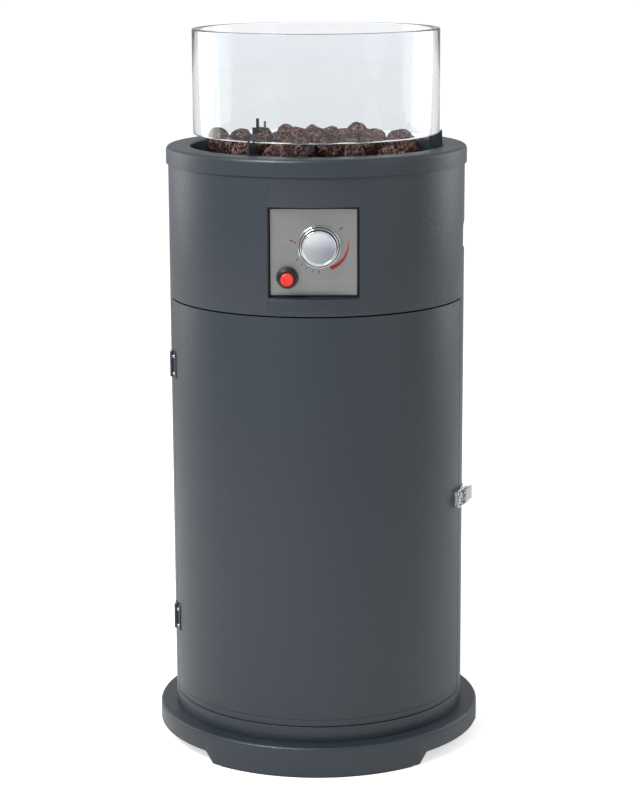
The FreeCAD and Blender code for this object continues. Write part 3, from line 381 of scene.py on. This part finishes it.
def buildCabinet():
    b = base
    inner = b["radius"] - b["sheet"]
    under = b["top"] - b["sheet"]
    profile = rounded([(b["axisGap"], under, 0), (inner, under, 3), (inner, b["low"], 0.3),
                       (b["radius"], b["low"], 0.7), (b["radius"], b["top"], b["round"]),
                       (b["axisGap"], b["top"], 0)], 8)
    outer = b["archHalf"] + b["archSlope"]
    arch = rounded([(-outer, -3, 0), (outer, -3, 0), (outer, b["low"], 3), (b["archHalf"], b["archRise"], 5),
                    (-b["archHalf"], b["archRise"], 5), (-outer, b["low"], 3)])
    cutters = [prism(f"arch{k}", arch, -300, -100, turnedTo(a)) for k, a in enumerate(b["archTurns"])]
    addMesh("baseVisual", carve("baseVisual", sweep("base", profile), cutters, 0.6), "cabinet",
            "slate_paint", ["base_plate"])
    c = cabinet
    addMesh("plinthVisual", sweep("plinthVisual", wall(b["top"], c["plinthTop"])), "cabinet",
            "slate_paint", ["plinth_ring"])
    start, end = c["seam"] + c["halfGap"], 360 - c["seam"] - c["halfGap"]
    v = vents
    places = [level + v["pitch"] * s for level in v["levels"] for s in range(v["count"])]
    slots = [prism(f"vent{k}", rectangle(v["width"], z, z + v["height"], v["round"]), 140, 220)
             for k, z in enumerate(places)]
    rear = sweep("rear", wall(c["plinthTop"], c["housingLow"]), start, end)
    addMesh("rearVisual", carve("rearVisual", rear, slots, 0.35), "cabinet", "slate_paint", ["rear_shell"])
    low, high, r = c["doorLow"], c["doorHigh"], c["radius"]
    hem = low + c["hemRise"]
    door = rounded([(r - c["sheet"], low, 0.2), (r, low, 0.6), (r, hem - c["hemHalf"], 0.3),
                    (r - c["hemDepth"], hem, 0.3), (r, hem + c["hemHalf"], 0.3), (r, high, 0.6),
                    (r - c["sheet"], high, 0.2)], 3)
    door = sweep("door", door, -c["seam"] + c["halfGap"], c["seam"] - c["halfGap"])
    addMesh("doorVisual", carve("doorVisual", door, [], 0.4), "door", "slate_paint", ["door_shell"])
    w, h = window, handHole
    frontLow = w["level"] - w["side"] / 2
    frontOutline = rectangle(w["side"], frontLow, frontLow + w["side"], w["round"])
    frontHole = prism("frontHole", frontOutline, -230, -120)
    handLow = h["level"] - h["height"] / 2
    handOutline = rectangle(h["width"], handLow, handLow + h["height"], h["round"])
    sideHole = prism("sideHole", handOutline, -230, -120, turnedTo(90))
    housing = sweep("housing", wall(c["housingLow"], c["housingHigh"]))
    addMesh("housingVisual", carve("housingVisual", housing, [frontHole, sideHole], 0.5), "cabinet",
            "slate_paint", ["upper_housing"])
    k = cap
    t, floor = k["sheet"], k["collarLow"]
    lip = k["mouth"] - k["collarWidth"]
    profile = rounded([
        (k["radius"] - t, k["low"], 0.4), (k["radius"], k["low"], 0.8), (k["radius"], k["top"], k["round"]),
        (k["mouth"], k["top"], 3.2), (k["mouth"], floor, 0), (lip, floor, 0.5),
        (lip, floor - t, 0.5), (k["mouth"] + t, floor - t, 1), (k["mouth"] + t, k["top"] - t, 1.6),
        (k["radius"] - t, k["top"] - t, k["round"] - t)], 10)
    addMesh("capVisual", sweep("capVisual", profile), "cabinet", "slate_paint", ["top_cap"])
    g = glass
    inner, edge = g["radius"] - g["wall"], g["round"]
    profile = rounded([(inner, g["low"], edge), (g["radius"], g["low"], edge),
                       (g["radius"], g["high"], edge), (inner, g["high"], edge)], 6)
    addMesh("glassVisual", sweep("glassVisual", profile, step=1.25), "glass", "clear_glass",
            ["glass_guard"], 60)


# Lava stones, one for each solid of the node.
def islands(item):
    shape = bmesh.new()
    shape.from_mesh(item.data)
    left, found = set(shape.verts), []
    while left:
        seed = left.pop()
        group, edge = [seed], [seed]
        while edge:
            for link in edge.pop().link_edges:
                for vert in link.verts:
                    if vert in left:
                        left.remove(vert)
                        group.append(vert)
                        edge.append(vert)
        spots = [item.matrix_world @ v.co for v in group]
        low = Vector([min(s[i] for s in spots) for i in range(3)])
        high = Vector([max(s[i] for s in spots) for i in range(3)])
        found.append(((low + high) / 2, (high.z - low.z) / 2))
    shape.free()
    return found


def buildStones():
    draw = random.Random(stones["seed"])
    found = sorted(islands(nodes["lava_stones"]), key=lambda s: (round(s[0].z, 5), round(s[0].x, 5)))
    top = [s for s in found if s[0].z > stones["topLevel"] * mm]
    low = [s for s in found if s[0].z <= stones["topLevel"] * mm]
    for name, chosen, fine in (("stonesTop", top, 5 if len(top) < 9 else 4), ("stonesLow", low, 3)):
        shape = bmesh.new()
        toneLayer = shape.verts.layers.float.new("tone")
        for centre, radius in chosen:
            made = bmesh.ops.create_icosphere(shape, subdivisions=fine + 1 if fine < 5 else fine, radius=1.0)
            shift = Vector([draw.uniform(-50, 50) for _ in range(3)])
            stretch = Vector([draw.uniform(0.86, 1.12) for _ in range(3)])
            cuts = []
            for _ in range(stones["facets"]):
                normal = Vector([draw.gauss(0, 1) for _ in range(3)]).normalized()
                cuts.append((normal, draw.uniform(0.80, 0.98)))
            tone = draw.random()
            for vert in made["verts"]:
                away = vert.co.normalized()
                reach = 1.0
                for normal, depth in cuts:
                    facing = away.dot(normal)
                    if facing > 0.2:
                        reach = min(reach, depth / facing)
                reach += 0.06 * noise.fractal(away * 1.5 + shift, 0.9, 2.1, 3)
                reach += 0.045 * noise.noise(away * 5.0 + shift)
                pit = noise.noise(away * 12 + shift)
                reach -= 0.10 * max(0.0, pit - 0.10)
                spot = Vector([away[i] * stretch[i] for i in range(3)]) * reach
                vert.co = centre + spot * radius * stones["swell"]
                vert[toneLayer] = tone
        addMesh(name, meshOf(name, shape, False), "cabinet", "lava_rock", ["lava_stones"], 70)
    print("stones", len(top), len(low))


# Knob, bezel and igniter.
def buildControls():
    k, plate = knob, -panelDepth

    def turnedPiece(name, profile, body, finish, node, angle, **ripple):
        mesh = turnKnob(name, profile, k["x"], k["z"], **ripple)
        addMesh(name, mesh, body, finish, [node], angle)

    bezel = [(k["inner"], plate), (k["inner"], plate - 2.6), (k["inner"] + 0.5, plate - 3.8),
             (k["inner"] + 1.1, plate - 4.0), (k["bezel"] - 0.7, plate - 3.7),
             (k["bezel"] - 0.1, plate - 2.8), (k["bezel"], plate - 1.5), (k["bezel"], plate),
             (k["inner"], plate)]
    turnedPiece("bezelVisual", bezel, "cabinet", "knob_chrome", "knob_bezel", 60)
    back, front = plate - 3.8, plate - 14.1
    wide, grip = k["skirt"], k["grip"]
    skirt = [(grip - 1, back), (wide - 0.5, back), (wide, back - 0.5), (wide, back - 2.0),
             (wide - 0.5, back - 2.8), (wide - 1.2, back - 3.1), (wide - 2.0, back - 2.7),
             (grip - 1, back - 2.5)]
    turnedPiece("skirtVisual", skirt + skirt[:1], "knob", "knob_chrome", "control_knob", 60)
    barrel = [(0.01, back), (grip - 1.5, back), (grip - 1.5, back - 2), (grip, back - 2.2, 1),
              (grip, front + 0.6, 1), (grip - 0.4, front), (0.01, front)]
    turnedPiece("barrelVisual", barrel, "knob", "knob_black", "control_knob", 50,
                flutes=k["flutes"], depth=k["fluteDepth"], count=480)
    edge = k["face"]
    rim = [(edge - 1.6, front - 1.0), (edge - 1.1, front - 1.35), (edge - 0.5, front - 1.2),
           (edge, front - 0.6), (edge, front), (edge - 0.6, front + 0.3), (edge - 1.6, front)]
    turnedPiece("rimVisual", rim + rim[:1], "knob", "knob_chrome", "knob_face", 60)
    f = edge - 1.2
    face = [(0.01, front), (f - 0.6, front), (f, front - 0.25), (f, front - 0.7), (f - 0.35, front - 1.1),
            (f - 1.0, front - 1.2), (f - 1.5, front - 1.02), (0.01, front - 1.12)]
    turnedPiece("faceVisual", face, "knob", "knob_satin", "knob_face", 25)
    g = igniter
    tip = plate - g["noseLength"]
    bore = g["cap"] + g["capGap"]
    nose = [(bore, plate), (g["noseRear"] - 0.3, plate), (g["noseRear"], plate - 0.6),
            (g["noseRear"] - 0.2, plate - 2.4), (g["noseFront"] + 0.25, tip + 1.6),
            (g["noseFront"] - 0.3, tip + 0.3), (g["noseFront"] - 1.1, tip), (bore + 0.55, tip),
            (bore, tip + 0.7), (bore, plate)]
    addMesh("noseVisual", turnKnob("noseVisual", nose, g["x"], g["z"]), "cabinet", "knob_black",
            ["igniter_nose"], 40)
    end = tip - g["capOut"]
    button = [(0.01, plate + 4), (g["cap"], plate + 4), (g["cap"], end + 1.4), (g["cap"] - 0.4, end + 0.5),
              (g["cap"] - 1.4, end), (g["cap"] - 2.4, end), (g["cap"] - 3.2, end + 0.35), (0.01, end + 0.4)]
    addMesh("buttonVisual", turnKnob("buttonVisual", button, g["x"], g["z"]), "igniter_plunger", "button_red",
            ["igniter_button"], 40)


# Flat marks printed on the panel: a growing arc, a dot and ticks round the knob.
def buildDial():
    d, level = dial, -panelDepth - dial["lift"]

    def strip(name, edge):
        shape = bmesh.new()
        hub = Vector((knob["x"], level, knob["z"]))
        rows = [[shape.verts.new((hub + Vector((math.cos(a), 0, math.sin(a))) * r) * mm)
                 for r in (low, high)] for a, low, high in edge]
        for near, far in zip(rows, rows[1:]):
            shape.faces.new((near[0], near[1], far[1], far[0]))
        for face in shape.faces:
            if face.normal.y > 0:
                face.normal_flip()
        return meshOf(name, shape, False)

    arc = []
    for s in range(d["arcSteps"] + 1):
        t = s / d["arcSteps"]
        middle, half = d["arcRadius"] - d["arcDrift"] * t ** 1.25, d["arcHalf"] + d["arcGrowth"] * t ** 0.8
        arc.append((math.radians(d["arcFrom"] - d["arcSpan"] * t), middle - half, middle + half))
    addMesh("dialArc", strip("dialArc", arc), "cabinet", "print_red")
    dot = bmesh.new()
    spot = Matrix.Translation(Vector((knob["x"] + d["dotX"], level, knob["z"] + d["dotZ"])) * mm)
    bmesh.ops.create_circle(dot, cap_ends=True, segments=24, radius=d["dotRadius"] * mm,
                            matrix=spot @ Matrix.Rotation(math.pi / 2, 4, "X"))
    addMesh("dialDot", meshOf("dialDot", dot, False), "cabinet", "print_red")
    for index, (turn, low, high, width) in enumerate(d["ticks"]):
        half = math.degrees(width / high) / 2
        tick = [(math.radians(turn + side * half), low, high) for side in (-1, 1)]
        addMesh(f"dialTick{index}", strip(f"dialTick{index}", tick), "cabinet", "print_black")


# Rivet and screw heads, set on the nodes' own places.
def headTree():
    tree = bpy.data.node_groups.new("placeHeads", "GeometryNodeTree")
    for name, kind in (("Geometry", "NodeSocketGeometry"), ("Head", "NodeSocketObject"),
                       ("Finish", "NodeSocketMaterial")):
        tree.interface.new_socket(name, in_out="INPUT", socket_type=kind)
    tree.interface.new_socket("Geometry", in_out="OUTPUT", socket_type="NodeSocketGeometry")
    new, join = tree.nodes.new, tree.links.new
    source, sink = new("NodeGroupInput"), new("NodeGroupOutput")
    facing = new("GeometryNodeInputNamedAttribute")
    facing.data_type = "FLOAT_VECTOR"
    facing.inputs["Name"].default_value = "facing"
    aim = new("FunctionNodeAlignRotationToVector")
    aim.axis = "Z"
    join(facing.outputs["Attribute"], aim.inputs["Vector"])
    head = new("GeometryNodeObjectInfo")
    join(source.outputs["Head"], head.inputs["Object"])
    place = new("GeometryNodeInstanceOnPoints")
    join(source.outputs["Geometry"], place.inputs["Points"])
    join(head.outputs["Geometry"], place.inputs["Instance"])
    join(aim.outputs[0], place.inputs["Rotation"])
    real, cover = new("GeometryNodeRealizeInstances"), new("GeometryNodeSetMaterial")
    join(place.outputs[0], real.inputs[0])
    join(real.outputs[0], cover.inputs["Geometry"])
    join(source.outputs["Finish"], cover.inputs["Material"])
    join(cover.outputs[0], sink.inputs[0])
    return tree


def headMesh(name, radius, rise, cross):
    shape = bmesh.new()
    steps, count = 7, 32
    rings = []
    for s in range(steps + 1):
        t = s / steps
        r, z = radius * math.cos(t * math.pi / 2 * 0.97), rise * math.sin(t * math.pi / 2)
        rings.append([shape.verts.new(Vector((r * math.cos(2 * math.pi * k / count),
                                              r * math.sin(2 * math.pi * k / count), z)) * mm)
                      for k in range(count)])
    for near, far in zip(rings, rings[1:]):
        for k in range(count):
            shape.faces.new((near[k], near[(k + 1) % count], far[(k + 1) % count], far[k]))
    shape.faces.new(rings[-1])
    shape.faces.new(rings[0][::-1])
    mesh = meshOf(name, shape, False)
    if not cross:
        return mesh
    cuts = []
    for k in (0, 90):
        half, low, high = radius * 0.6, rise * 0.45, rise * 2
        outline = [(-half, low), (half, low), (half, high), (-half, high)]
        cuts.append(prism(f"{name}Cross{k}", outline, -0.35, 0.35, turnedTo(k)))
    return carve(name, mesh, cuts, 0.06)


def buildHeads():
    tree = headTree()
    latchOut = turnedTo(cabinet["seam"] - 90).to_3x3() @ Vector((1, 0, 0))
    for node, (radius, rise, cross) in heads.items():
        shape = bmesh.new()
        facing = shape.verts.layers.float_vector.new("facing")
        for centre, _ in islands(nodes[node]):
            fixed = {"bracket_screws": Vector((0, 0, 1)), "catch_rivets": latchOut}
            out = fixed.get(node, Vector((centre.x, centre.y, 0)).normalized())
            shape.verts.new(centre - out * rise * mm / 2)[facing] = out
        spots = meshOf(node + "Spots", shape, False)
        head = bpy.data.objects.new(node + "Head", headMesh(node + "Head", radius, rise, cross))
        item = bpy.data.objects.new(node + "Blank", spots)
        for thing in (head, item):
            bpy.context.scene.collection.objects.link(thing)
        step = item.modifiers.new("heads", "NODES")
        step.node_group = tree
        for socket in tree.interface.items_tree:
            if socket.in_out == "INPUT" and socket.name != "Geometry":
                step[socket.identifier] = head if socket.name == "Head" else finishes["zinc_steel"]
        mesh = baked(item)
        bpy.data.objects.remove(head)
        mesh.name = node + "Visual"
        addMesh(node + "Visual", mesh, bodyOf[node], "zinc_steel", [node], 40)


# Nodes shown as they are, with softened edges.
def dressNodes():
    for name, item in nodes.items():
        finish = finishes[slotOf[name]]
        if not item.data.materials:
            item.data.materials.append(finish)
        for index in range(len(item.data.materials)):
            item.data.materials[index] = finish
        if name in ("lava_stones", "burner", "gas_pipe", "latch_bail"):
            continue
        edge = item.modifiers.new("soften", "BEVEL")
        edge.width, edge.segments, edge.limit_method = 0.25 * mm, 2, "ANGLE"
        edge.angle_limit = math.radians(45)


# Floor, lights and camera.
def buildStage():
    scene = bpy.context.scene
    shape = bmesh.new()
    bmesh.ops.create_grid(shape, x_segments=1, y_segments=1, size=9)
    mesh = meshOf("floor", shape, False)
    floor = bpy.data.objects.new("floor", mesh)
    scene.collection.objects.link(floor)
    ground = Finish("whiteFloor", Base_Color=(0.9, 0.9, 0.9), Roughness=0.9, Specular_IOR_Level=0.0)
    seen = ground.tree.nodes.new("ShaderNodeLightPath")
    through = Wire(ground.tree, seen.outputs["Is Transmission Ray"])
    direct = Wire(ground.tree, seen.outputs["Is Camera Ray"]) + through
    ground.shader.inputs["Emission Strength"].default_value = 1.0
    ground.feed("Emission Color", direct * 0.6)
    mesh.materials.append(ground.material)
    world = bpy.data.worlds.new("studio")
    world.use_nodes = True
    scene.world = world
    tree = world.node_tree
    tree.nodes.clear()
    path = tree.nodes.new("ShaderNodeLightPath")
    white, around = tree.nodes.new("ShaderNodeBackground"), tree.nodes.new("ShaderNodeBackground")
    white.inputs["Color"].default_value = (1, 1, 1, 1)
    white.inputs["Strength"].default_value = 1.05
    around.inputs["Color"].default_value = (0.97, 0.985, 1.0, 1)
    around.inputs["Strength"].default_value = light["around"]
    mix, out = tree.nodes.new("ShaderNodeMixShader"), tree.nodes.new("ShaderNodeOutputWorld")
    direct = Wire(tree, path.outputs["Is Camera Ray"]) + Wire(tree, path.outputs["Is Transmission Ray"])
    tree.links.new(direct.socket, mix.inputs[0])
    tree.links.new(around.outputs[0], mix.inputs[1])
    tree.links.new(white.outputs[0], mix.inputs[2])
    tree.links.new(mix.outputs[0], out.inputs[0])
    for name, spot, size, power in (("key", (-1.5, -1.7, 2.6), 1.3, light["keyPower"]),
                                    ("fill", (2.3, -1.6, 1.4), 1.6, light["fillPower"]),
                                    ("rimLeft", (-1.7, 0.9, 0.9), 1.2, light["rimPower"]),
                                    ("rimRight", (1.7, 0.9, 0.9), 1.2, light["rimPower"])):
        lamp = bpy.data.lights.new(name, "AREA")
        lamp.shape, lamp.size, lamp.energy = "DISK", size, power
        item = bpy.data.objects.new(name, lamp)
        item.location = spot
        item.rotation_euler = (Vector((0, 0, 0.5)) - Vector(spot)).to_track_quat("-Z", "Y").to_euler()
        scene.collection.objects.link(item)
    camera = bpy.data.cameras.new("camera")
    camera.lens, camera.sensor_width = lens["length"], 36.0
    camera.clip_start, camera.clip_end = 0.1, 50.0
    item = bpy.data.objects.new("camera", camera)
    scene.collection.objects.link(item)
    turn = Matrix.Rotation(math.radians(lens["turn"]), 4, "Z")
    spot = Matrix.Translation(Vector((lens["across"], -lens["away"], lens["height"])) * mm)
    aim = Matrix.Rotation(math.pi / 2 - lens["pitch"], 4, "X")
    item.matrix_world = turn @ spot @ aim @ Matrix.Rotation(lens["roll"], 4, "Z")
    scene.camera = item
    scene.view_settings.view_transform = "Standard"


buildCabinet()
print("cabinet built")
buildStones()
buildControls()
buildDial()
print("controls built")
buildHeads()
dressNodes()
print("heads and frame nodes dressed")
buildStage()
